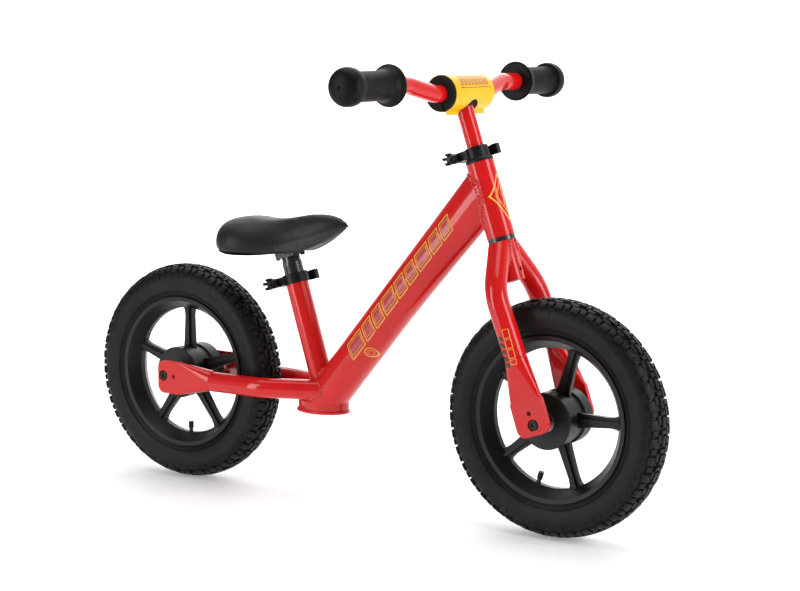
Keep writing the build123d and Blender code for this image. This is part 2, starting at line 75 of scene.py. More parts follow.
# --- shader helpers -------------------------------------------------------------------------
class Shader:
    """A small wrapper round one material's node tree."""

    def __init__(self, name, colour, roughness, **settings):
        self.material = bpy.data.materials.new(name)
        self.material.use_nodes = True
        self.tree = self.material.node_tree
        self.surface = self.tree.nodes["Principled BSDF"]
        self.surface.inputs["Base Color"].default_value = (*colour, 1)
        self.surface.inputs["Roughness"].default_value = roughness
        for key, value in settings.items():
            self.surface.inputs[key.replace("_", " ")].default_value = value
        self.place = self.add("ShaderNodeTexCoord").outputs["Object"]

    def add(self, kind, inputs=(), **settings):
        node = self.tree.nodes.new(kind)
        for key, value in settings.items():
            setattr(node, key, value)
        for key, value in dict(inputs).items():
            if hasattr(value, "is_output"):
                self.tree.links.new(value, node.inputs[key])
            else:
                node.inputs[key].default_value = value
        return node

    def noise(self, scale, detail=3.0, rough=0.5):
        facts = {"Vector": self.place, "Scale": scale, "Detail": detail, "Roughness": rough}
        return self.add("ShaderNodeTexNoise", facts).outputs["Fac"]

    def cells(self, scale, feature="F1"):
        node = self.add("ShaderNodeTexVoronoi", {"Vector": self.place, "Scale": scale}, feature=feature)
        return node.outputs["Distance"]

    def ramp(self, value, *stops):
        """Map a value through (position, grey or colour) stops."""
        node = self.add("ShaderNodeValToRGB", {"Fac": value})
        ends = node.color_ramp.elements
        while len(ends) < len(stops):
            ends.new(0.5)
        for end, (position, shade) in zip(ends, stops):
            end.position = position
            colour = shade if isinstance(shade, tuple) else (shade, shade, shade)
            end.color = (*colour, 1)
        return node.outputs["Color"]

    def colour(self, value):
        self.tree.links.new(value, self.surface.inputs["Base Color"])
        return self

    def roughness(self, value, low, high):
        facts = {"Value": value, "To Min": low, "To Max": high}
        node = self.add("ShaderNodeMapRange", facts)
        self.tree.links.new(node.outputs["Result"], self.surface.inputs["Roughness"])
        return self

    def bump(self, height, depth, strength=1.0):
        """Raise the surface by height, where 1 stands depth millimetres proud."""
        facts = {"Height": height, "Distance": depth * MM, "Strength": strength}
        last = self.surface.inputs["Normal"]
        if last.is_linked:
            facts["Normal"] = last.links[0].from_socket
        node = self.add("ShaderNodeBump", facts)
        self.tree.links.new(node.outputs["Normal"], last)
        return self


# --- materials ------------------------------------------------------------------------------
def clouded(name, base, roughness, clouds, tones, gloss, grain, **settings):
    """Tone clouds (scale, detail), roughness (scale, detail, low, high) and a fine grain in the normals."""
    s = Shader(name, base, roughness, **settings)
    s.colour(s.ramp(s.noise(*clouds), (0.3, tones[0]), (0.7, tones[1])))
    s.roughness(s.noise(*gloss[:2]), *gloss[2:])
    return s.bump(s.noise(*grain[:2]), *grain[2:])


def weld_paint():
    s = Shader("weld_paint", (0.58, 0.008, 0.008), 0.28, Specular_IOR_Level=0.2, Coat_Weight=0.9,
               Coat_Roughness=0.1)
    s.colour(s.ramp(s.noise(260, 3), (0.35, (0.52, 0.005, 0.006)), (0.65, (0.64, 0.009, 0.009))))
    return s.bump(s.noise(1400, 3), 0.12, 0.5)


def black_plastic():
    s = Shader("black_plastic", (0.006, 0.0055, 0.006), 0.42, Specular_IOR_Level=0.25)
    s.colour(s.ramp(s.noise(60, 3), (0.3, 0.006), (0.7, 0.011)))
    s.roughness(s.noise(400, 3), 0.38, 0.54)
    return s.bump(s.cells(1500), 0.05, 0.4)


def tyre_rubber():
    s = Shader("tyre_rubber", (0.008, 0.0072, 0.0075), 0.46, Specular_IOR_Level=0.18)
    s.colour(s.ramp(s.noise(36, 5, 0.6), (0.3, (0.0055, 0.0053, 0.0056)), (0.72, (0.012, 0.011, 0.0115))))
    s.roughness(s.noise(240, 4), 0.38, 0.56)
    return s.bump(s.noise(1700, 3), 0.09, 0.6)


def inner_rubber():
    s = Shader("inner_rubber", (0.018, 0.018, 0.018), 0.5)
    s.colour(s.ramp(s.noise(80, 4), (0.3, 0.012), (0.7, 0.026)))
    return s.bump(s.noise(900, 3), 0.08, 0.5)


def saddle_leather():
    s = Shader("saddle_leather", (0.013, 0.011, 0.012), 0.42, Specular_IOR_Level=0.25)
    s.colour(s.ramp(s.noise(30, 5), (0.3, (0.010, 0.0085, 0.0094)), (0.7, (0.018, 0.015, 0.0165))))
    s.roughness(s.noise(150, 4), 0.34, 0.5)
    s.bump(s.cells(620, "DISTANCE_TO_EDGE"), 0.22, 0.45)
    return s.bump(s.noise(2400, 3), 0.05, 0.5)


def saddle_panel():
    s = Shader("saddle_panel", (0.010, 0.010, 0.011), 0.55)
    # Colour is darkest at each cell's middle, where the bump below sinks a dimple: painted shade in the
    # dimples, over the panel's own dark tone.
    s.colour(s.ramp(s.cells(420), (0.1, 0.006), (0.6, 0.018)))
    s.bump(s.cells(420), 0.5, 0.8)
    return s.bump(s.noise(2000, 3), 0.06, 0.5)


def seam_thread():
    s = Shader("seam_thread", (0.022, 0.021, 0.022), 0.6)
    s.colour(s.ramp(s.noise(900, 2), (0.3, 0.014), (0.7, 0.034)))
    return s.bump(s.noise(3200, 2), 0.08, 0.6)


def foam():
    s = Shader("foam", (0.007, 0.007, 0.007), 0.85, Specular_IOR_Level=0.2)
    # Colour is darkest at each cell's middle, where the bump below sinks a pore: painted shade in the
    # pores.
    s.colour(s.ramp(s.cells(1300), (0.05, 0.003), (0.5, 0.012)))
    return s.bump(s.cells(1300), 0.35, 0.8)


def yellow_vinyl():
    s = Shader("yellow_vinyl", (0.86, 0.52, 0.01), 0.33, Specular_IOR_Level=0.2, Coat_Weight=0.12,
               Coat_Roughness=0.2)
    s.colour(s.ramp(s.noise(40, 4), (0.3, (0.80, 0.45, 0.002)), (0.7, (0.88, 0.53, 0.005))))
    s.roughness(s.noise(200, 3), 0.27, 0.42)
    wave = {"Vector": s.place, "Scale": 620.0, "Distortion": 0.6}
    weave = s.add("ShaderNodeTexWave", wave).outputs["Fac"]
    s.bump(weave, 0.05, 0.4)
    return s.bump(s.noise(110, 3), 0.5, 0.35)


def print_ink(name, colour):
    s = Shader(name, colour, 0.38, Coat_Weight=0.5, Coat_Roughness=0.1)
    pale = tuple(min(1.0, c * 1.12 + 0.01) for c in colour)
    dark = tuple(c * 0.82 for c in colour)
    s.colour(s.ramp(s.noise(300, 3), (0.3, dark), (0.7, pale)))
    return s.bump(s.noise(1500, 2), 0.02, 0.4)


PAINT = clouded(
    "red_paint", (0.60, 0.006, 0.007), 0.34, (14, 4), ((0.57, 0.005, 0.005), (0.66, 0.007, 0.007)),
    (90, 3, 0.24, 0.36), (420, 2, 0.05, 0.35),
    Specular_IOR_Level=0.12, Coat_Weight=0.8, Coat_Roughness=0.07, Coat_IOR=1.45).material
WELD = weld_paint().material
ALLOY = clouded(
    "black_alloy", (0.006, 0.0055, 0.006), 0.34, (120, 4), (0.004, 0.008),
    (500, 3, 0.28, 0.46), (2600, 2, 0.03, 0.5), Metallic=0.15, Specular_IOR_Level=0.3).material
GLOSS_METAL = clouded(
    "black_gloss_metal", (0.012, 0.012, 0.013), 0.22, (60, 3), (0.009, 0.017),
    (300, 3, 0.18, 0.34), (900, 2, 0.03, 0.4), Coat_Weight=0.5, Coat_Roughness=0.1).material
WHEEL = clouded(
    "wheel_plastic", (0.006, 0.0056, 0.006), 0.38, (22, 4), (0.0045, 0.0085),
    (160, 4, 0.32, 0.5), (2200, 3, 0.05, 0.5), Specular_IOR_Level=0.3).material
PLASTIC = black_plastic().material
TYRE = tyre_rubber().material
GRIP = clouded(
    "grip_rubber", (0.004, 0.0038, 0.004), 0.45, (80, 4), (0.0035, 0.0065),
    (300, 3, 0.34, 0.5), (1500, 3, 0.06, 0.5), Specular_IOR_Level=0.12).material
TUBE_RUBBER = inner_rubber().material
LEATHER = saddle_leather().material
PANEL = saddle_panel().material
THREAD = seam_thread().material
FOAM = foam().material
VINYL = yellow_vinyl().material
ORANGE = print_ink("orange_ink", (0.95, 0.30, 0.015)).material
AMBER = print_ink("amber_ink", (0.95, 0.55, 0.03)).material
DARK_RED = print_ink("dark_red_ink", (0.42, 0.006, 0.010)).material
BLACK_INK = print_ink("black_ink", (0.012, 0.012, 0.015)).material
STEEL = clouded(
    "bright_steel", (0.55, 0.56, 0.58), 0.26, (200, 3), ((0.47, 0.48, 0.50), (0.62, 0.62, 0.63)),
    (700, 3, 0.18, 0.36), (2500, 2, 0.02, 0.4), Metallic=1.0).material
OXIDE = clouded(
    "black_oxide", (0.02, 0.02, 0.022), 0.3, (300, 3), (0.014, 0.035),
    (600, 3, 0.22, 0.42), (2500, 2, 0.02, 0.4), Metallic=0.8).material

NODE_MATERIALS = {
    "head_tube": PAINT, "down_tube": PAINT, "seat_tube": PAINT, "chainstay_left": PAINT,
    "chainstay_right": PAINT, "fork_leg_left": PAINT, "fork_leg_right": PAINT, "fork_steerer": PAINT,
    "handlebar": PAINT, "handlebar_post": PAINT, "bottom_plate": PLASTIC, "dust_cap": PLASTIC,
    "saddle_shell": PLASTIC, "crown_race": GLOSS_METAL, "seat_post": GLOSS_METAL,
    "saddle_bracket": GLOSS_METAL, "headset_lower_bearing": STEEL, "headset_upper_bearing": STEEL,
    "saddle_screws": OXIDE,
}
for end in ("front", "rear"):
    NODE_MATERIALS.update({
        end + "_rim": WHEEL, end + "_spokes": WHEEL, end + "_hub": WHEEL,
        end + "_inner_tube": TUBE_RUBBER, end + "_valve_stem": TUBE_RUBBER, end + "_valve_cap": PLASTIC,
        end + "_hub_bearings": STEEL, end + "_bearing_spacer": STEEL, end + "_axle": STEEL,
        end + "_axle_spacers": OXIDE, end + "_axle_bolts": OXIDE})
for end in ("head", "seat"):
    NODE_MATERIALS.update({
        end + "_clamp_collar": ALLOY, end + "_clamp_skewer": OXIDE, end + "_clamp_washers": OXIDE,
        end + "_clamp_pin": OXIDE, end + "_clamp_lever": ALLOY, end + "_clamp_nut": PLASTIC})


def dress_nodes():
    for name, material in NODE_MATERIALS.items():
        for holder in NODES[name].material_slots:
            holder.material = material


# --- mesh helpers ---------------------------------------------------------------------------
def piece(name, points, faces, material, body):
    mesh = bpy.data.meshes.new(name)
    mesh.from_pydata([tuple(p) for p in points], [], faces)
    mesh.validate()
    obj = bpy.data.objects.new(name, mesh)
    bpy.context.scene.collection.objects.link(obj)
    mesh.materials.append(material)
    shade_smooth(mesh)
    tidy_normals(mesh)
    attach(obj, body)
    return obj


def shade_smooth(mesh):
    mesh.polygons.foreach_set("use_smooth", [True] * len(mesh.polygons))


def tidy_normals(mesh):
    work = bmesh.new()
    work.from_mesh(mesh)
    bmesh.ops.recalc_face_normals(work, faces=work.faces)
    work.to_mesh(mesh)
    work.free()


def apply_modifiers(obj):
    """Bake an object's modifiers into its mesh."""
    view = bpy.context.evaluated_depsgraph_get()
    done = bpy.data.meshes.new_from_object(obj.evaluated_get(view))
    obj.modifiers.clear()
    old = obj.data
    obj.data = done
    bpy.data.meshes.remove(old)


def thicken(obj, thick, offset=0.0):
    """Turn an open sheet into a closed one, thick millimetres through."""
    shell = obj.modifiers.new("thickness", "SOLIDIFY")
    shell.thickness = thick * MM
    shell.offset = offset
    apply_modifiers(obj)


def smooth_by_angle(obj, degrees=32):
    work = bmesh.new()
    work.from_mesh(obj.data)
    limit = math.radians(degrees)
    for edge in work.edges:
        if len(edge.link_faces) == 2 and edge.calc_face_angle(0) > limit:
            edge.smooth = False
    work.to_mesh(obj.data)
    work.free()


def ring_faces(rings, around, closed_rings=False, closed_around=True):
    """Quads between rings of points, each ring holding the same number of points."""
    faces = []
    ring_steps = rings if closed_rings else rings - 1
    around_steps = around if closed_around else around - 1
    for i in range(ring_steps):
        for j in range(around_steps):
            a, b = i * around + j, i * around + (j + 1) % around
            c, d = ((i + 1) % rings) * around + (j + 1) % around, ((i + 1) % rings) * around + j
            faces.append((a, b, c, d))
    return faces


def spline_point(p0, p1, p2, p3, t):
    """The place a part t of the way from p1 to p2 on a Catmull-Rom line."""
    a = 2 * p1 + (p2 - p0) * t
    b = (2 * p0 - 5 * p1 + 4 * p2 - p3) * t * t + (3 * p1 - 3 * p2 + p3 - p0) * t ** 3
    return (a + b) / 2


def smooth_line(points, step):
    """A Catmull-Rom line through the points, resampled about every step."""
    pts = [Vector(p) for p in points]
    pts = [2 * pts[0] - pts[1]] + pts + [2 * pts[-1] - pts[-2]]
    out = []
    for i in range(1, len(pts) - 2):
        p0, p1, p2, p3 = pts[i - 1:i + 3]
        count = max(1, round((p2 - p1).length / step))
        out += [spline_point(p0, p1, p2, p3, k / count) for k in range(count)]
    out.append(pts[-2])
    return out


def node_tree(*names):
    """A ray-casting tree of one or more CAD nodes."""
    points, faces = [], []
    for name in names:
        mesh = NODES[name].data
        start = len(points)
        points += [v.co.copy() for v in mesh.vertices]
        faces += [[start + i for i in face.vertices] for face in mesh.polygons]
    return BVHTree.FromPolygons(points, faces)


# --- tyres ----------------------------------------------------------------------------------
TREAD_PITCHES = 40
TREAD_R = 146.0             # where lengths along the tread are measured
KNOB_TALL = 3.3
SIDE_PROFILE = [
    (102.0, 17.2), (105.2, 18.6), (108.6, 20.6), (112.2, 22.0), (112.8, 22.9), (118.0, 24.4),
    (126.0, 25.5), (133.0, 24.7), (139.0, 21.3), (143.2, 15.2), (145.6, 8.0), (146.4, 0.0)]
INSIDE_PROFILE = [(102.0, 13.2), (110.0, 18.5), (124.0, 22.0), (137.0, 19.0), (143.0, 11.0), (144.8, 0.0)]


def profile_curve(points, step):
    line = smooth_line([(y, r, 0) for r, y in points], step)
    return [(p.y, p.x) for p in line]


class TyreSkin:
    """The outside of one tyre: a place for each turn about the axle and distance from the crown."""

    def __init__(self, axle):
        self.axle = axle
        half = profile_curve(SIDE_PROFILE, 0.8)[::-1]
        self.radii = np.array([r for r, _ in half])
        self.sides = np.array([y for _, y in half])
        runs = np.hypot(np.diff(self.radii), np.diff(self.sides))
        self.lengths = np.concatenate([[0], np.cumsum(runs)])

    def section(self, across):
        """Radius, side offset and outward slope at a distance across from the crown."""
        s = abs(across)
        r = np.interp(s, self.lengths, self.radii)
        y = np.interp(s, self.lengths, self.sides)
        ahead = min(s + 1.0, self.lengths[-1])
        behind = max(s - 1.0, 0.0) if s > 1.0 else -(1.0 - s)
        dr = np.interp(ahead, self.lengths, self.radii) - np.interp(abs(behind), self.lengths, self.radii)
        dy = np.interp(ahead, self.lengths, self.sides)
        dy -= math.copysign(np.interp(abs(behind), self.lengths, self.sides), behind)
        length = math.hypot(dr, dy)
        normal_r, normal_y = dy / length, -dr / length
        side = 1 if across >= 0 else -1
        return r, side * y, normal_r, side * normal_y

    def at(self, turn, across, lift=0.0):
        r, y, normal_r, normal_y = self.section(across)
        r += normal_r * lift
        y += normal_y * lift
        radial = Vector((math.cos(turn), 0, math.sin(turn)))
        return self.axle + (radial * r + Vector((0, y, 0))) * MM


def knob(skin, points, faces, turn, across, size, tall, draft=0.5):
    """One tread block: a grid over its footprint, lifted with sloped walls and a broken edge."""
    turn_half, across_half = size
    cols, rows = 3, max(2, round(across_half / 1.6) + 1)
    start = len(points)
    layers = [(0.0, -1.2), (0.25, tall - 0.7), (draft, tall - 0.25), (draft + 0.7, tall)]
    outline = [(i / cols, 0.0) for i in range(cols)] + [(1.0, j / rows) for j in range(rows)]
    outline += [(1 - i / cols, 1.0) for i in range(cols)] + [(0.0, 1 - j / rows) for j in range(rows)]
    for inset, lift in layers:
        for u, v in outline:
            along = (u - 0.5) * 2 * (turn_half - inset)
            side = (v - 0.5) * 2 * (across_half - inset)
            points.append(skin.at(turn + along / TREAD_R, across + side, lift))
    count = len(outline)
    for layer in range(len(layers) - 1):
        for j in range(count):
            a, b = start + layer * count + j, start + layer * count + (j + 1) % count
            faces.append((a, b, b + count, a + count))
    last = start + (len(layers) - 1) * count
    grid = {}
    for i in range(cols + 1):
        for j in range(rows + 1):
            u, v = i / cols, j / rows
            match = [k for k, (x, y) in enumerate(outline) if abs(x - u) < 1e-6 and abs(y - v) < 1e-6]
            if match:
                grid[i, j] = last + match[0]
                continue
            inset = layers[-1][0]
            along = (u - 0.5) * 2 * (turn_half - inset)
            side = (v - 0.5) * 2 * (across_half - inset)
            grid[i, j] = len(points)
            points.append(skin.at(turn + along / TREAD_R, across + side, tall))
    for i in range(cols):
        for j in range(rows):
            faces.append((grid[i, j], grid[i + 1, j], grid[i + 1, j + 1], grid[i, j + 1]))


# Blocks of one pitch: distance along the tread, distance across, half length, half width, height.
TREAD = [
    (0.0, 18.8, 5.4, 4.5, 1.0), (11.6, 17.8, 3.7, 3.4, 0.94), (4.6, 11.3, 5.4, 2.5, 0.98),
    (0.8, 3.6, 6.8, 2.8, 1.0), (12.3, 4.7, 2.7, 4.1, 1.0)]


def make_tyre(end):
    skin = TyreSkin(AXLES[end])
    outer = profile_curve(SIDE_PROFILE, 1.6)
    inner = profile_curve(INSIDE_PROFILE, 4.0)
    half = outer + [(r, -y) for r, y in outer[-2::-1]]
    half += [(r, -y) for r, y in inner] + [(r, y) for r, y in inner[-2::-1]]
    around = 240
    points = []
    for i in range(around):
        a = TURN * i / around
        radial = Vector((math.cos(a), 0, math.sin(a)))
        points += [skin.axle + (radial * r + Vector((0, y, 0))) * MM for r, y in half]
    faces = ring_faces(around, len(half), closed_rings=True)
    pitch = TURN / TREAD_PITCHES
    for i in range(TREAD_PITCHES):
        for side in (-1, 1):
            shift = 0.0 if side > 0 else 0.5
            for along, across, half_long, half_wide, tall in TREAD:
                turn = (i + shift) * pitch + along / TREAD_R
                knob(skin, points, faces, turn, side * across, (half_long, half_wide), KNOB_TALL * tall)
    bead_ribs(skin, points, faces)
    side_ticks(skin, points, faces)
    tyre = piece(end + "_tyre_tread", points, faces, TYRE, end + "_wheel")
    smooth_by_angle(tyre, 35)
    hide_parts(end + "_tyre")


def raised_bar(skin, points, faces, corners, tall):
    """A thin raised mark on the sidewall between four (turn, across) corners."""
    start = len(points)
    for lift in (-0.3, tall):
        points.extend(skin.at(turn, across, lift) for turn, across in corners)
    faces.append(tuple(start + 4 + k for k in range(4)))
    for k in range(4):
        faces.append((start + k, start + (k + 1) % 4, start + 4 + (k + 1) % 4, start + 4 + k))


def bead_ribs(skin, points, faces):
    """The band of fine radial ribs above the rim, on both sides."""
    ribs, wide = 180, 0.012
    outer_edge, inner_edge, lip = 52.0, 58.0, 1.2
    step = TURN / ribs
    for i in range(ribs):
        turn = TURN * i / ribs
        for side in (-1, 1):
            far, near = side * inner_edge, side * outer_edge
            corners = [(turn, near), (turn + wide, near), (turn + wide, far), (turn, far)]
            raised_bar(skin, points, faces, corners, 0.8)
            past = near - side * lip
            edge = [(turn, past), (turn + step, past), (turn + step, near), (turn, near)]
            raised_bar(skin, points, faces, edge, 1.0)


def side_ticks(skin, points, faces):
    """Short moulded marks round the sidewall, below the shoulder blocks."""
    marks, wide, top = 72, 0.009, 27.6
    for i in range(marks):
        turn = TURN * i / marks
        long = 3.2 if i % 3 else 5.0
        for side in (-1, 1):
            near, far = side * top, side * (top + long)
            corners = [(turn, near), (turn + wide, near), (turn + wide, far), (turn, far)]
            raised_bar(skin, points, faces, corners, 0.9)


# --- grips and bar pad ----------------------------------------------------------------------
def spun_piece(name, outline, origin, axis, material, body, around):
    """Revolve an outline of (along, radius) in millimetres about axis from origin."""
    axis = Vector(axis).normalized()
    side = axis.orthogonal().normalized()
    other = axis.cross(side)
    points = []
    for along, radius in outline:
        for j in range(around):
            a = TURN * j / around
            out = side * math.cos(a) + other * math.sin(a)
            points.append(origin + (axis * along + out * radius) * MM)
    faces = ring_faces(len(outline), around)
    first, last = list(range(around)), [(len(outline) - 1) * around + j for j in range(around)]
    faces += [tuple(first[::-1]), tuple(last)]
    return piece(name, points, faces, material, body)


def make_grip(side_name, side):
    """Soft grip: trumpet flange, ringed middle, round bulb with a small vent dimple."""
    low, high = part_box("grip_" + side_name)
    middle = (Vector(low) + Vector(high)) / 2
    inner_y = (low[1] if side > 0 else high[1]) / MM * side
    outer_y = (high[1] if side > 0 else low[1]) / MM * side
    long = outer_y - inner_y
    bulb_mid = long - 15.0
    origin = Vector((middle.x, inner_y * side * MM, middle.z))
    shape = [
        (0.4, 13.0), (0.0, 16.0), (0.0, 21.0), (0.5, 24.5), (1.8, 25.8), (3.4, 25.7), (5.2, 24.4),
        (8.0, 22.0), (12.0, 19.8), (17.0, 18.5), (21.0, 18.2)]
    outline = [(p.x, p.y) for p in smooth_line([(a, r, 0) for a, r in shape], 0.9)]
    at = 22.0
    while at < bulb_mid - 15.5:
        outline += [(at, 18.2), (at + 0.5, 17.85), (at + 1.1, 17.85), (at + 1.6, 18.2)]
        at += 3.1
    bulb = [
        (bulb_mid - 12.4, 18.3), (bulb_mid - 10.4, 18.9), (bulb_mid - 9.4, 21.6), (bulb_mid - 8.4, 22.8),
        (bulb_mid - 5.0, 23.3), (bulb_mid + 1.0, 23.3), (bulb_mid + 6.0, 21.9), (bulb_mid + 10.4, 18.6),
        (bulb_mid + 13.2, 13.2), (bulb_mid + 14.5, 6.8), (bulb_mid + 14.9, 2.6), (bulb_mid + 14.2, 1.4),
        (bulb_mid + 13.4, 0.6)]
    outline += [(p.x, p.y) for p in smooth_line([(a, r, 0) for a, r in bulb], 0.9)]
    grip = spun_piece(
        "grip_" + side_name + "_rubber", outline, origin, (0, side, 0), GRIP, "handlebar", 96)
    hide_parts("grip_" + side_name)


BAR_MIDDLE = steer_point(0, 0, 422.0)
FOAM_HALF = 48.0
FOAM_R = 21.9
FOAM_BORE = 11.6


def pad_point(y, angle, radius):
    """Round the bar: angle 0 is forward, a quarter turn is up the steering axis."""
    ray = STEER_FORWARD * math.cos(angle) + STEER_UP * math.sin(angle)
    return BAR_MIDDLE + (Vector((0, y, 0)) + ray * radius) * MM


def make_pad_foam():
    """Black foam ring split along its back, with soft rounded ends."""
    ends = [(-FOAM_HALF, 12.2), (-FOAM_HALF, 19.4), (0.8 - FOAM_HALF, 21.0), (2.6 - FOAM_HALF, FOAM_R)]
    outline = ends + [(-30 + 12 * k, FOAM_R) for k in range(6)] + [(-y, r) for y, r in reversed(ends)]
    around = 96
    gap = 0.05
    points = []
    for y, radius in outline:
        for j in range(around):
            angle = -math.pi / 2 + gap + (TURN - 2 * gap) * j / (around - 1)
            r = radius + (0.25 * math.sin(angle * 5 + y * 0.11) if radius > 19 else 0.0)
            points.append(pad_point(y, angle, r))
    for y in (outline[-1][0], outline[0][0]):
        for j in range(around):
            angle = -math.pi / 2 + gap + (TURN - 2 * gap) * j / (around - 1)
            points.append(pad_point(y, angle, FOAM_BORE))
    rings = len(outline) + 2
    faces = ring_faces(rings, around, closed_rings=True, closed_around=False)
    for end in (0, around - 1):
        faces.append(tuple(i * around + end for i in range(rings)))
    obj = piece("bar_pad_foam_soft", points, faces, FOAM, "handlebar")
    smooth_by_angle(obj, 50)
    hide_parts("bar_pad_foam")


COVER_HALF = 44.5
COVER_R = 22.9
FLAP_LONG = 5.5
NOTCH_HALF = 15.0
NOTCH_TALL = 21.0
VINYL_THICK = 0.7
def cover_edge(y):
    """How far, in millimetres of arc past straight down, the sleeve's front edge reaches at y."""
    notch = max(0.0, 1 - (abs(y) / NOTCH_HALF) ** 2)
    flap = FLAP_LONG if 17.0 < abs(y) else 0.0
    return flap - NOTCH_TALL * math.sqrt(notch)


def make_pad_cover():
    """Stretched vinyl sleeve: wraps the foam from under the front, over the top, to under the back."""
    rows, cols = 61, 81
    points = []
    for i in range(rows):
        y = -COVER_HALF + 2 * COVER_HALF * i / (rows - 1)
        front = -math.pi / 2 - cover_edge(y) / COVER_R
        back = math.pi * 1.5 - 0.10 + min(0.0, cover_edge(y)) / COVER_R
        for j in range(cols):
            angle = front + (back - front) * j / (cols - 1)
            pucker = 0.22 * math.sin(y * 0.9 + 3 * angle) * math.exp(-(COVER_HALF - abs(y)) / 6)
            sag = 0.28 * math.sin(angle * 2 + 0.4) * math.cos(y / COVER_HALF * 1.3)
            radius = COVER_R + pucker + sag * 0.5
            past = -math.pi / 2 - angle
            if past > 0:
                ray = pad_point(y, -math.pi / 2, radius)
                points.append(ray + (-STEER_UP * 0.9 - STEER_FORWARD * 0.25) * past * COVER_R * MM)
            else:
                points.append(pad_point(y, angle, radius))
    faces = ring_faces(rows, cols, closed_around=False)
    obj = piece("bar_pad_cover_vinyl", points, faces, VINYL, "handlebar")
    thicken(obj, VINYL_THICK)
    smooth_by_angle(obj, 50)
    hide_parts("bar_pad_cover")


# --- saddle ---------------------------------------------------------------------------------
# Distance ahead of the rear axle, half width, underside height, top height.
SADDLE = [
    (70.5, 8.0, 340.0, 355.0), (73.0, 26.0, 333.5, 361.5), (79.5, 42.0, 328.6, 366.6),
    (92.0, 53.5, 325.0, 370.0), (108.0, 58.5, 323.2, 371.4), (126.0, 56.5, 323.0, 370.6),
    (144.0, 49.5, 323.6, 369.2), (162.0, 40.5, 325.4, 369.6), (182.0, 32.0, 328.2, 372.2),
    (204.0, 26.0, 332.4, 376.4), (222.0, 21.5, 339.0, 380.2), (236.0, 17.5, 345.6, 381.8),
    (250.0, 12.5, 354.0, 380.6), (262.0, 7.0, 361.8, 376.6), (269.0, 3.2, 366.6, 372.6),
    (272.5, 1.0, 368.8, 370.4)]
SADDLE_SIDE = 0.27          # height of the widest line, as a part of the section's height
UPPER_POWER = 2.15
LOWER_POWER = 4.2
SADDLE_AROUND = 48
SHELL_SPAN = (79, 237)      # ahead of the rear axle: the moulded shell
RECESS_SPAN = (84, 232)     # the flat recess under the cover
PANEL_START = 172           # the side panels below the seam
PINCH_START = 165           # where the cover begins to draw in along the seam


def saddle_ring(station):
    """One cross-section: rounded above its widest line and boxier below it."""
    x, half, low, top = station
    side = low + (top - low) * SADDLE_SIDE
    ring = []
    for j in range(SADDLE_AROUND):
        a = TURN * j / SADDLE_AROUND
        c, s = math.cos(a), math.sin(a)
        power = UPPER_POWER if s > 0 else LOWER_POWER
        rise = (top - side) if s > 0 else (side - low)
        y = half * math.copysign(abs(c) ** (2 / power), c)
        z = side + rise * math.copysign(abs(s) ** (2 / power), s)
        ring.append(Vector((x * MM + AXLES["rear"].x, y * MM, z * MM)))
    return ring


def saddle_rings(stations):
    """Rings along the saddle, smoothed between the stations."""
    rings = [saddle_ring(s) for s in stations]
    lines = [smooth_line_even([ring[j] for ring in rings], 5) for j in range(SADDLE_AROUND)]
    return [[line[i] for line in lines] for i in range(len(lines[0]))]


def smooth_line_even(points, parts):
    """A Catmull-Rom line with the same number of parts in every stretch."""
    pts = [2 * points[0] - points[1]] + list(points) + [2 * points[-1] - points[-2]]
    out = []
    for i in range(1, len(pts) - 2):
        out += [spline_point(*pts[i - 1:i + 3], k / parts) for k in range(parts)]
    out.append(pts[-2])
    return out


def saddle_body(name, stations, material):
    """A closed body through saddle stations."""
    rings = saddle_rings(stations)
    points = [p for ring in rings for p in ring]
    faces = ring_faces(len(rings), SADDLE_AROUND)
    faces += [tuple(range(SADDLE_AROUND))[::-1]]
    last = (len(rings) - 1) * SADDLE_AROUND
    faces += [tuple(range(last, last + SADDLE_AROUND))]
    return piece(name, points, faces, material, "seat")


def make_saddle_shell():
    """Moulded shell under the cushion, set in from the edge of the cover."""
    inset, thick = 5.5, 6.4
    kept = [station for station in SADDLE if SHELL_SPAN[0] < station[0] < SHELL_SPAN[1]]
    stations = [(x, half - inset, low + 0.4, low + thick) for x, half, low, _ in kept]
    shell = saddle_body("saddle_shell_moulding", stations, PLASTIC)
    smooth_by_angle(shell, 40)
    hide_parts("saddle_shell")


def make_saddle():
    saddle = saddle_body("saddle_cover", SADDLE, LEATHER)
    puff(saddle, swell=3.2)
    sculpt_saddle(saddle)
    saddle.data.materials.append(PANEL)
    for face in saddle.data.polygons:
        face.material_index = 1 if nose_panel(face.center, face.normal) else 0
    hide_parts("saddle_cushion")
    return saddle


def remesh(obj, voxel):
    change = obj.modifiers.new("remesh", "REMESH")
    change.mode = "VOXEL"
    change.voxel_size = voxel
    apply_modifiers(obj)
    shade_smooth(obj.data)


def puff(obj, swell):
    """Inflate the cover over its foam with a cloth simulation, capped at swell millimetres."""
    remesh(obj, 4.5 * MM)
    rest = [v.co.copy() for v in obj.data.vertices]
    scene = bpy.context.scene
    cloth = obj.modifiers.new("cloth", "CLOTH")
    settings = cloth.settings
    settings.use_pressure = True
    settings.uniform_pressure_force = 4.0
    settings.tension_stiffness = 15
    settings.compression_stiffness = 15
    settings.shear_stiffness = 8
    settings.bending_stiffness = 0.6
    settings.effector_weights.gravity = 0
    cloth.collision_settings.use_self_collision = False
    for number in range(1, 21):
        scene.frame_set(number)
    apply_modifiers(obj)
    scene.frame_set(1)
    limit = swell * MM
    for vertex, start in zip(obj.data.vertices, rest):
        move = vertex.co - start
        if move.length > limit:
            vertex.co = start + move * (limit / move.length)
    finish = obj.modifiers.new("finish", "SUBSURF")
    finish.levels = 1
    finish.render_levels = 1
    apply_modifiers(obj)
    shade_smooth(obj.data)


def seam_height(x):
    """Height of the sewn seam above the nose panel at x metres, in metres."""
    ahead = (x - AXLES["rear"].x) / MM
    return (339.5 + (ahead - 178.0) * 0.325) * MM


def nose_panel(place, normal):
    ahead = (place.x - AXLES["rear"].x) / MM
    return ahead > PANEL_START and place.z < seam_height(place.x) - 0.3 * MM


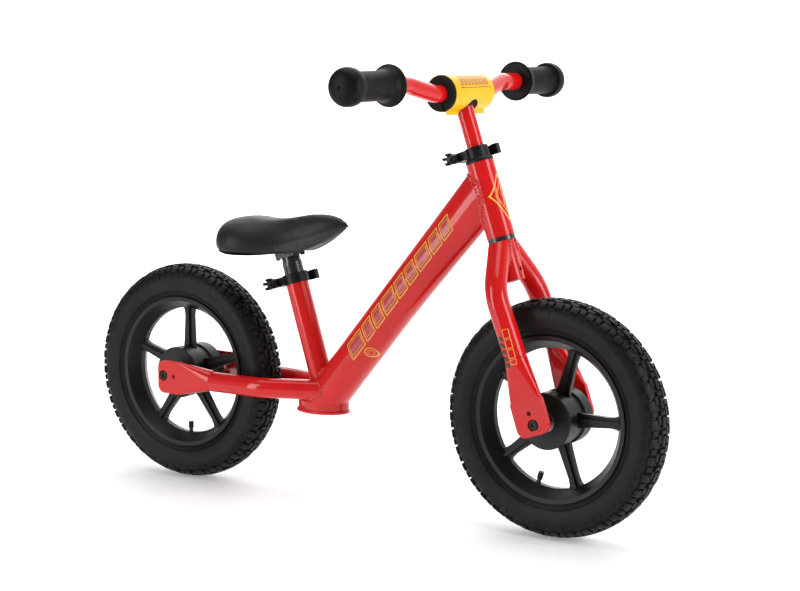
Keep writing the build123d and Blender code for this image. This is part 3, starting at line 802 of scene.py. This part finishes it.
def sculpt_saddle(obj):
    """Keep the cover inside its box, flatten it underneath and pinch it along the seam."""
    low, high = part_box("saddle_cushion")
    for vertex in obj.data.vertices:
        p = vertex.co
        for axis in range(3):
            p[axis] = min(max(p[axis], low[axis] - 2.5 * MM), high[axis] + 2.5 * MM)
        ahead = (p.x - AXLES["rear"].x) / MM
        half = np.interp(ahead, [s[0] for s in SADDLE], [s[1] for s in SADDLE])
        if vertex.normal.z < -0.6 and RECESS_SPAN[0] < ahead < RECESS_SPAN[1]:
            inside = half - 8.0 - abs(p.y) / MM
            p.z += 3.0 * MM * min(1.0, max(0.0, inside / 3.0))
        if ahead > PINCH_START:
            gap = abs(p.z - seam_height(p.x)) / (1.8 * MM)
            fade = min(1.0, (ahead - PINCH_START) / 15)
            pinch = 0.9 * MM * fade * math.exp(-gap * gap)
            p.y -= math.copysign(min(pinch, abs(p.y)), p.y)


def make_seam(saddle):
    """Raised stitches along the seam on each side of the nose."""
    first, last, pitch = 180.0, 262.0, 3.4
    mesh = saddle.data
    tree = BVHTree.FromPolygons([v.co for v in mesh.vertices], [p.vertices for p in mesh.polygons])
    points, faces = [], []
    for side in (-1, 1):
        ahead = first
        while ahead < last:
            x = AXLES["rear"].x + ahead * MM
            base = Vector((x, side * 0.2, seam_height(x) + 1.6 * MM))
            hit, normal, _, _ = tree.ray_cast(base, Vector((0, -side, 0)))
            if hit:
                stitch(points, faces, hit + normal * 0.15 * MM, Vector((1, 0, 0.33)).normalized(), normal)
            ahead += pitch
    piece("saddle_stitches", points, faces, THREAD, "seat")


def stitch(points, faces, place, along, normal):
    """One thread stitch: a short rounded bar."""
    start = len(points)
    across = along.cross(normal).normalized()
    rings, around = 5, 6
    for i in range(rings):
        t = i / (rings - 1) * 2 - 1
        width = 0.42 * math.sqrt(max(0.05, 1 - t * t))
        for j in range(around):
            a = TURN * j / around
            offset = across * math.cos(a) * width + normal * math.sin(a) * width
            points.append(place + (along * t * 1.25 + offset) * MM)
    for face in ring_faces(rings, around):
        faces.append(tuple(start + k for k in face))
    faces.append(tuple(start + k for k in range(around))[::-1])
    faces.append(tuple(start + (rings - 1) * around + k for k in range(around)))


# --- weld beads -----------------------------------------------------------------------------
def seam_loops(node, other, touch=0.12):
    """Loops of edges where the skin of a CAD node meets another node, as lists of points."""
    work = bmesh.new()
    work.from_mesh(NODES[node].data)
    bmesh.ops.remove_doubles(work, verts=work.verts, dist=0.02 * MM)
    tree = node_tree(other)
    limit = touch * MM

    def covered(face):
        spot, _, _, away = tree.find_nearest(face.calc_center_median(), 2 * MM)
        return spot is not None and away < limit

    mark = {face.index: covered(face) for face in work.faces}
    edges = {}
    for edge in work.edges:
        if len(edge.link_faces) == 2:
            a, b = edge.link_faces
            if mark[a.index] != mark[b.index]:
                ends = tuple(v.index for v in edge.verts)
                edges.setdefault(ends[0], []).append(ends[1])
                edges.setdefault(ends[1], []).append(ends[0])
    places = {v.index: v.co.copy() for v in work.verts}
    work.free()
    loops, used = [], set()
    for start in sorted(edges, key=lambda k: (len(edges[k]) != 1, k)):
        if start in used:
            continue
        chain, here = [start], start
        used.add(start)
        while True:
            ahead = [n for n in edges[here] if n not in used]
            if not ahead:
                break
            here = ahead[0]
            used.add(here)
            chain.append(here)
        closed = len(chain) > 3 and chain[0] in edges[chain[-1]]
        loops.append(([places[k] for k in chain], closed))
    return loops


def loop_length(points, closed):
    pairs = list(zip(points, points[1:])) + ([(points[-1], points[0])] if closed else [])
    return sum((a - b).length for a, b in pairs)


def resample(points, closed, step):
    line = list(points) + ([points[0]] if closed else [])
    lengths = [0.0]
    for a, b in zip(line, line[1:]):
        lengths.append(lengths[-1] + (b - a).length)
    count = max(4, round(lengths[-1] / step))
    places = np.linspace(0, lengths[-1], count + 1)
    table = np.array([tuple(p) for p in line])
    out = [Vector([np.interp(s, lengths, table[:, k]) for k in range(3)]) for s in places]
    return out[:-1] if closed else out


def relax(points, closed, rounds):
    pts = [p.copy() for p in points]
    for _ in range(rounds):
        new = [p.copy() for p in pts]
        for i in range(len(pts)):
            if not closed and i in (0, len(pts) - 1):
                continue
            new[i] = (pts[i - 1] + pts[i] * 2 + pts[(i + 1) % len(pts)]) / 4
        pts = new
    return pts


def bead(points, faces, line, closed, radius, ripple=4.6):
    """A weld bead along a line, with the stacked-coin ripple of a hand weld."""
    start = len(points)
    around = 10
    count = len(line)
    travel = 0.0
    for i, here in enumerate(line):
        before, after = line[i - 1], line[(i + 1) % count]
        if not closed:
            before, after = line[max(i - 1, 0)], line[min(i + 1, count - 1)]
        along = (after - before).normalized()
        side = along.orthogonal().normalized()
        other = along.cross(side)
        travel += (here - line[i - 1]).length / MM if i else 0.0
        coin = 0.5 - 0.5 * math.cos(TURN * travel / ripple)
        width = radius * (0.76 + 0.34 * coin + 0.05 * math.sin(travel * 0.7))
        if not closed:
            width *= min(1.0, 0.35 + 0.3 * min(i, count - 1 - i))
        for j in range(around):
            a = TURN * j / around
            points.append(here + (side * math.cos(a) + other * math.sin(a)) * width * MM)
    twist_safe_faces(points, faces, start, count, around, closed)


def twist_safe_faces(points, faces, start, count, around, closed):
    """Join the bead's rings, matching each ring to the nearest turn of the next one."""
    steps = count if closed else count - 1
    for i in range(steps):
        a, b = start + i * around, start + ((i + 1) % count) * around
        shift = min(range(around), key=lambda k: (points[b + k] - points[a]).length)
        probe = (points[b + (shift + 1) % around] - points[a + 1]).length
        mirror = (points[b + (shift - 1) % around] - points[a + 1]).length
        way = 1 if probe <= mirror else -1
        for j in range(around):
            c, d = (shift + way * (j + 1)) % around, (shift + way * j) % around
            faces.append((a + j, a + (j + 1) % around, b + c, b + d))
    if not closed:
        faces.append(tuple(start + k for k in range(around)))
        faces.append(tuple(start + (count - 1) * around + k for k in range(around)))


WELDS = [
    ("weld_head", "frame", "down_tube", "head_tube", 2.8, 60, 2),
    ("weld_seat_tube", "frame", "seat_tube", "down_tube", 2.1, 60, 1),
    ("weld_stay_left", "frame", "chainstay_left", "down_tube", 2.1, 40, 1),
    ("weld_stay_right", "frame", "chainstay_right", "down_tube", 2.1, 40, 1),
    ("weld_fork_left", "fork", "fork_leg_left", "fork_steerer", 3.0, 40, 1),
    ("weld_fork_right", "fork", "fork_leg_right", "fork_steerer", 3.0, 40, 1),
    ("weld_bar", "handlebar", "handlebar_post", "handlebar", 1.7, 40, 1),
]


def make_welds():
    for name, body, node, other, radius, shortest, most in WELDS:
        loops = seam_loops(node, other)
        loops = [loop for loop in loops if loop_length(*loop) > shortest * MM]
        loops.sort(key=lambda loop: -loop_length(*loop))
        points, faces = [], []
        for line, closed in loops[:most]:
            coarse = relax(resample(line, closed, 4.0 * MM), closed, 3)
            even = relax(resample(coarse, closed, 0.7 * MM), closed, 6)
            bead(points, faces, even, closed, radius)
        if points:
            piece(name, points, faces, WELD, body)
        else:
            print("no seam found for", name)


# --- printed marks --------------------------------------------------------------------------
# Millimetres: how far outlines and filled shapes lie off the skin, and how thick the ink is.
LINE_LIFT = 0.16
FILL_LIFT = 0.09
DASH_LIFT = 0.14
PAD_INK_LIFT = 0.95
INK_THICK = 0.06


class Skin:
    """Lays flat marks on a CAD node: origin, a direction along, and the side to print from."""

    def __init__(self, node, origin, along, look):
        self.tree = node_tree(node)
        self.origin = origin
        self.along = along.normalized()
        self.look = look.normalized()
        self.up = self.look.cross(self.along).normalized()

    def at(self, u, v, lift):
        start = self.origin + (self.along * u + self.up * v) * MM - self.look * 0.15
        hit, normal, _, _ = self.tree.ray_cast(start, self.look)
        if hit is None:
            return None
        if normal.dot(self.look) > 0:
            normal = -normal
        return hit + normal * lift * MM


def stroke(points, faces, skin, line, width, closed=False, step=1.6):
    """A printed line of the given width that follows the skin."""
    corners = list(line) + ([line[0]] if closed else [])
    for (u0, v0), (u1, v1) in zip(corners, corners[1:]):
        length = math.hypot(u1 - u0, v1 - v0)
        if length < 1e-6:
            continue
        du, dv = (u1 - u0) / length, (v1 - v0) / length
        run = length + width
        count = max(1, math.ceil(run / step))
        start = len(points)
        good = True
        for i in range(count + 1):
            s = -width / 2 + run * i / count
            for side in (-0.5, 0.5):
                u, v = u0 + du * s - dv * side * width, v0 + dv * s + du * side * width
                place = skin.at(u, v, LINE_LIFT)
                good = good and place is not None
                points.append(place or Vector())
        if not good:
            del points[start:]
            continue
        for i in range(count):
            a = start + 2 * i
            faces.append((a, a + 1, a + 3, a + 2))


def patch(points, faces, skin, corners, lift, step=2.0):
    """A printed filled four-sided shape that follows the skin."""
    (u0, v0), (u1, v1), (u2, v2), (u3, v3) = corners
    long = max(math.hypot(u1 - u0, v1 - v0), math.hypot(u2 - u3, v2 - v3))
    wide = max(math.hypot(u3 - u0, v3 - v0), math.hypot(u2 - u1, v2 - v1))
    n, m = max(1, math.ceil(long / step)), max(1, math.ceil(wide / step))
    start = len(points)
    for i in range(n + 1):
        for j in range(m + 1):
            s, t = i / n, j / m
            u = (u0 * (1 - s) + u1 * s) * (1 - t) + (u3 * (1 - s) + u2 * s) * t
            v = (v0 * (1 - s) + v1 * s) * (1 - t) + (v3 * (1 - s) + v2 * s) * t
            place = skin.at(u, v, lift)
            if place is None:
                del points[start:]
                return
            points.append(place)
    for i in range(n):
        for j in range(m):
            a = start + i * (m + 1) + j
            faces.append((a, a + 1, a + m + 2, a + m + 1))


def print_piece(name, body, points, faces, material):
    """Give printed marks a little thickness, so that they are closed shapes."""
    if not points:
        print("nothing printed for", name)
        return
    obj = piece(name, points, faces, material, body)
    thicken(obj, INK_THICK)


def slanted(u, v, long, tall, lean):
    """Corners of a leaning four-sided shape."""
    return [(u, v), (u + long, v), (u + long + lean, v + tall), (u + lean, v + tall)]


DOWN_ALONG = Vector((math.cos(math.radians(50.4)), 0, math.sin(math.radians(50.4))))
DOWN_FOOT = Vector((-26.8, 0, 173.4)) * MM


def print_down_tube(side_name, side):
    """A row of leaning outlined bars along the big tube, and two small rings towards its foot."""
    along = DOWN_ALONG if side < 0 else -DOWN_ALONG
    flip = 1 if side < 0 else -1
    foot = DOWN_FOOT + DOWN_ALONG * 0.165
    skin = Skin("down_tube", foot, along, Vector((0, -side, 0)))
    outline, inner, fill = ([], []), ([], []), ([], [])
    lengths = (30, 19, 19, 26, 19, 19, 26, 19, 19)
    gap, tall, lean = 4.6, 20.0, -8.0
    low = -tall / 2 - 1.5
    u = -(sum(lengths) + gap * (len(lengths) - 1)) / 2 - flip * 3.0
    for long in lengths:
        bar = slanted(u, low, long, tall, lean)
        stroke(*outline, skin, bar, 1.2, closed=True)
        small = slanted(u + 1.6, low + 3.4, long - 5.6, tall - 6.8, lean * 0.66)
        stroke(*inner, skin, small, 0.9, closed=True)
        patch(*fill, skin, bar, FILL_LIFT)
        u += long + gap
    ring_at = flip * -104.0
    for radius, width, ink in ((6.5, 1.1, outline), (3.4, 0.9, inner)):
        ring = [(ring_at + radius * math.cos(TURN * k / 20), 19.0 + radius * math.sin(TURN * k / 20))
                for k in range(20)]
        stroke(*ink, skin, ring, width, closed=True)
    print_piece("down_print_outline_" + side_name, "frame", *outline, AMBER)
    print_piece("down_print_inner_" + side_name, "frame", *inner, ORANGE)
    print_piece("down_print_fill_" + side_name, "frame", *fill, DARK_RED)


def print_head_tube():
    """Nested open diamonds on the front of the head tube."""
    middle = steer_point(0, 0, 283.0)
    skin = Skin("head_tube", middle, STEER_UP, -STEER_FORWARD)
    outer, inner = ([], []), ([], [])
    stroke(*outer, skin, [(-31, 0), (2, 15.5), (28, 0), (2, -15.5)], 1.5, closed=True)
    stroke(*inner, skin, [(-20, 0), (1, 10.0), (18, 0), (1, -10.0)], 1.6, closed=True)
    stroke(*inner, skin, [(-11, 0), (10, 0)], 2.2)
    print_piece("head_print_outer", "frame", *outer, AMBER)
    print_piece("head_print_inner", "frame", *inner, ORANGE)


def print_fork_leg(side_name, side):
    """A column of outlined squares beside a row of leaning dark dashes on the outside of each leg."""
    middle = steer_point(2.0, 0, 99.0)
    skin = Skin("fork_leg_" + side_name, middle, -STEER_UP, Vector((0, -side, 0)))
    squares, dashes, edge = ([], []), ([], []), ([], [])
    way = 1 if side > 0 else -1
    for i in range(4):
        u = -22 + 12.6 * i
        tall = 10.6 if i < 3 else 6.0
        corners = [(u, way * 1.6), (u + tall, way * 1.6), (u + tall, way * 9.0), (u, way * 9.0)]
        stroke(*squares, skin, corners, 0.9, closed=True)
    for i in range(5):
        u = -16 + 8.4 * i
        near, far = way * -0.6, way * -7.6
        patch(*dashes, skin, [(u, far), (u + 5.4, far), (u + 7.8, near), (u + 2.4, near)], DASH_LIFT)
    stroke(*edge, skin, [(-14, way * -9.6), (26, way * -9.6)], 0.8)
    print_piece("fork_print_squares_" + side_name, "fork", *squares, ORANGE)
    print_piece("fork_print_dashes_" + side_name, "fork", *dashes, BLACK_INK)
    print_piece("fork_print_edge_" + side_name, "fork", *edge, AMBER)


def print_pad_cover():
    """A band of leaning strokes printed across the top front of the sleeve."""
    points, faces = [], []

    def place(y, arc):
        return pad_point(y, math.pi * 0.10 + arc / COVER_R, COVER_R + PAD_INK_LIFT)

    def line(y0, a0, y1, a1, width):
        start = len(points)
        count = 6
        length = math.hypot(y1 - y0, a1 - a0)
        ny, na = -(a1 - a0) / length * width / 2, (y1 - y0) / length * width / 2
        for i in range(count + 1):
            t = i / count
            y, arc = y0 + (y1 - y0) * t, a0 + (a1 - a0) * t
            points.extend([place(y - ny, arc - na), place(y + ny, arc + na)])
        for i in range(count):
            a = start + 2 * i
            faces.append((a, a + 1, a + 3, a + 2))

    for i in range(8):
        y = -30.0 + 8.2 * i
        line(y, -4.5, y + 4.4, 6.5, 1.1)
        line(y + 3.4, -4.5, y + 7.8, 6.5, 1.1)
    line(-33.0, -7.4, 36.0, -7.4, 0.9)
    line(-29.0, 9.2, 40.0, 9.2, 0.9)
    obj = piece("pad_print", points, faces, DARK_RED, "handlebar")
    thicken(obj, INK_THICK, offset=-1.0)


# --- camera, light and floor ----------------------------------------------------------------
VIEW_AZIMUTH = 33.79
VIEW_ELEVATION = 7.78
VIEW_ROLL = 0.40
SENSOR = 36.0
LENS = 87.83
CAMERA_PLACE = Vector((1.44859, -2.07700, 0.62477))


def make_camera():
    az, el, roll = (math.radians(a) for a in (VIEW_AZIMUTH, VIEW_ELEVATION, VIEW_ROLL))
    back = Vector((math.sin(az) * math.cos(el), -math.cos(az) * math.cos(el), math.sin(el)))
    right = (-back).cross(Vector((0, 0, 1))).normalized()
    up = right.cross(-back)
    right_rolled = right * math.cos(roll) + up * math.sin(roll)
    up_rolled = up * math.cos(roll) - right * math.sin(roll)
    turn = Matrix((right_rolled, up_rolled, back)).transposed().to_4x4()
    camera = bpy.data.cameras.new("camera")
    camera.lens = LENS
    camera.sensor_width = SENSOR
    camera.clip_start = 0.05
    obj = bpy.data.objects.new("camera", camera)
    obj.matrix_world = Matrix.Translation(CAMERA_PLACE) @ turn
    bpy.context.scene.collection.objects.link(obj)
    bpy.context.scene.camera = obj


def area_light(name, place, target, size, power, colour=(1, 1, 1)):
    lamp = bpy.data.lights.new(name, "AREA")
    lamp.shape = "RECTANGLE"
    lamp.size, lamp.size_y = size
    lamp.energy = power
    lamp.color = colour
    obj = bpy.data.objects.new(name, lamp)
    away = Vector(place) - Vector(target)
    obj.matrix_world = Matrix.Translation(place) @ away.to_track_quat("Z", "Y").to_matrix().to_4x4()
    bpy.context.scene.collection.objects.link(obj)


def make_lights():
    middle = (0, 0, 0.3)
    area_light("top_softbox", (0.0, 0.1, 2.6), middle, (2.6, 1.8), 34)
    area_light("left_softbox", (-1.15, -2.2, 0.9), middle, (0.8, 1.9), 27)
    area_light("right_softbox", (2.5, 0.1, 0.9), middle, (1.0, 1.9), 36)
    area_light("wall_wash", (-2.6, 2.4, 4.2), (-3.4, 5.6, 1.2), (5.0, 1.6), 520)
    world = bpy.data.worlds.new("studio")
    bpy.context.scene.world = world
    world.use_nodes = True
    background = world.node_tree.nodes["Background"]
    background.inputs["Color"].default_value = (1, 1, 1, 1)
    background.inputs["Strength"].default_value = 0.20


def make_floor():
    """A pale sweep: level floor that curves up into a back wall."""
    front, depth, rise, bend, half = 6.0, 4.2, 7.0, 1.6, 10.0
    line = [(-front, 0.0), (depth, 0.0)]
    for a in np.linspace(0.1, math.pi / 2, 14):
        line.append((depth + bend * math.sin(a), bend * (1 - math.cos(a))))
    line.append((depth + bend, rise))
    points, faces = [], []
    for along, up in line:
        for side in (-half, half):
            points.append((side, along, up))
    for i in range(len(line) - 1):
        faces.append((2 * i, 2 * i + 1, 2 * i + 3, 2 * i + 2))
    mesh = bpy.data.meshes.new("floor")
    mesh.from_pydata(points, [], faces)
    shade_smooth(mesh)
    floor = bpy.data.objects.new("floor", mesh)
    bpy.context.scene.collection.objects.link(floor)
    s = Shader("floor", (0.93, 0.93, 0.93), 0.7, Emission_Color=(1, 1, 1, 1), Emission_Strength=0.22)
    s.colour(s.ramp(s.noise(2.0, 2), (0.3, 0.92), (0.7, 0.94)))
    mesh.materials.append(s.material)


# --- everything -----------------------------------------------------------------------------
make_camera()
make_lights()
make_floor()
dress_nodes()
for end_name in ("rear", "front"):
    make_tyre(end_name)
make_grip("left", 1)
make_grip("right", -1)
make_pad_foam()
make_pad_cover()
make_saddle_shell()
make_seam(make_saddle())
make_welds()
for name_of_side, sign in (("left", 1), ("right", -1)):
    print_down_tube(name_of_side, sign)
    print_fork_leg(name_of_side, sign)
print_head_tube()
print_pad_cover()
bpy.context.scene.view_settings.view_transform = "Standard"
